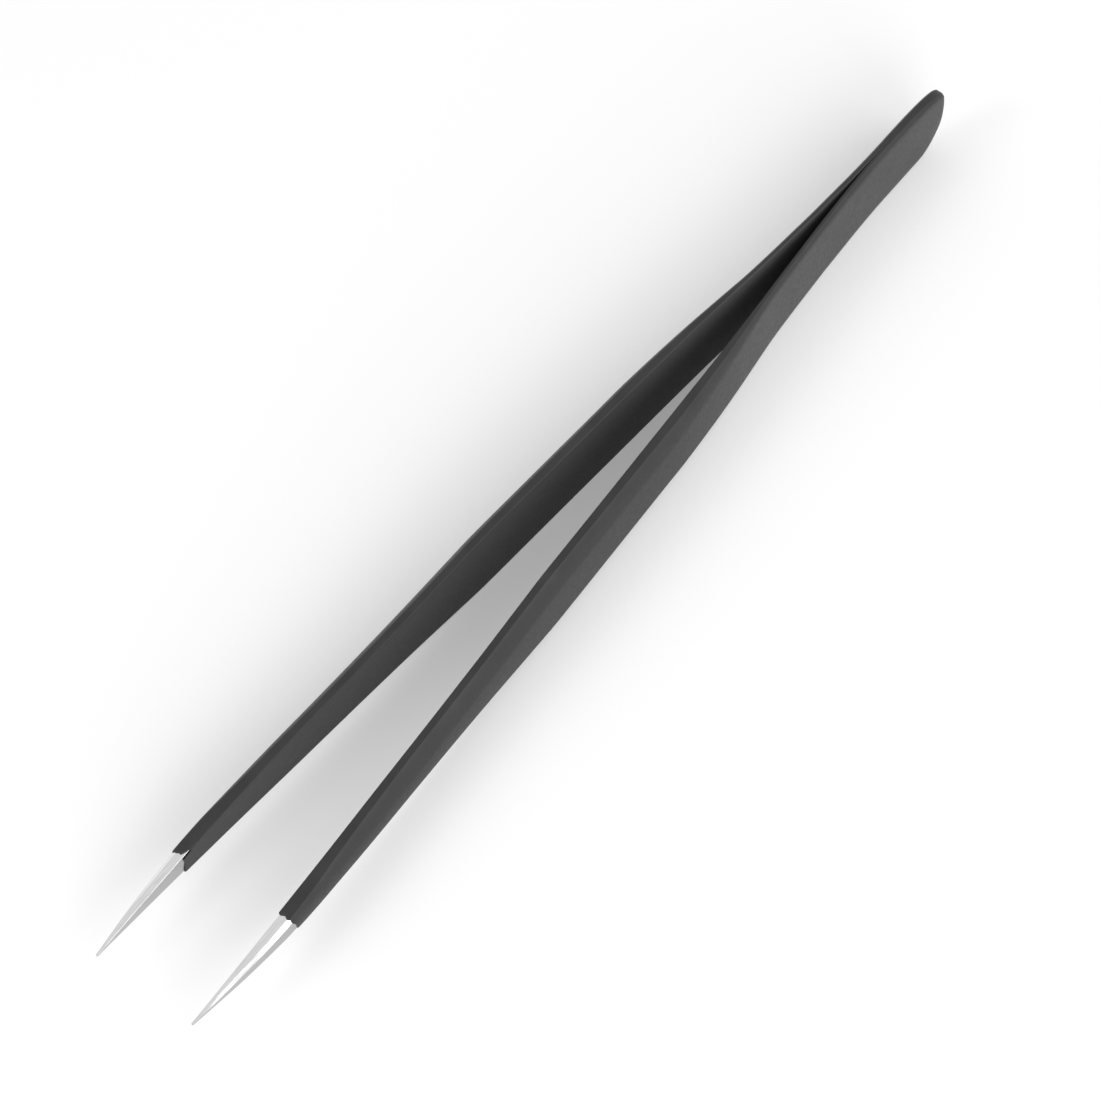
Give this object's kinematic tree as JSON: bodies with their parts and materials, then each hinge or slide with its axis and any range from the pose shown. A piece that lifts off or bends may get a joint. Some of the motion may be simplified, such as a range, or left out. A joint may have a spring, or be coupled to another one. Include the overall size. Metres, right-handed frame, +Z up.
{
  "type": "needle point tweezers",
  "caption": "Straight needle-point tweezers for small planting: two sprung steel arms welded at the tail, under a thin black coating, with bare steel tips.",
  "frame": {"origin": "centre of the bounding box on the surface that the tweezers lie on, under the middle of the length", "axes": "+X from the butt to the tips, +Y towards the left arm, +Z up from the surface that the long edges rest on"},
  "size_m": [0.138, 0.0152, 0.01],
  "materials": {
    "arm_steel": "stainless steel, finely ground along the arm",
    "weld_steel": "as-welded stainless steel",
    "black_coating": "baked black coating, satin with a fine grain"
  },
  "bodies": {
    "tail": {"tail_coating": "black_coating", "left_arm_tang": "arm_steel", "right_arm_tang": "arm_steel", "rear_spot_weld": "weld_steel", "front_spot_weld": "weld_steel"},
    "left_arm": {"left_arm_blade": "arm_steel", "left_arm_coating": "black_coating"},
    "right_arm": {"right_arm_blade": "arm_steel", "right_arm_coating": "black_coating"}
  },
  "joints": [
    {"name": "left_arm_flex", "type": "hinge", "parent": "tail", "child": "left_arm", "pos_m": [-0.047, 0.00083, 0.005], "axis": [0, 0, -1], "range_deg": [0, 3.02], "stiffness_Nm_per_rad": 0.65},
    {"name": "right_arm_flex", "type": "hinge", "parent": "tail", "child": "right_arm", "pos_m": [-0.047, -0.00083, 0.005], "axis": [0, 0, 1], "range_deg": [0, 3.02], "stiffness_Nm_per_rad": 0.65}
  ]
}
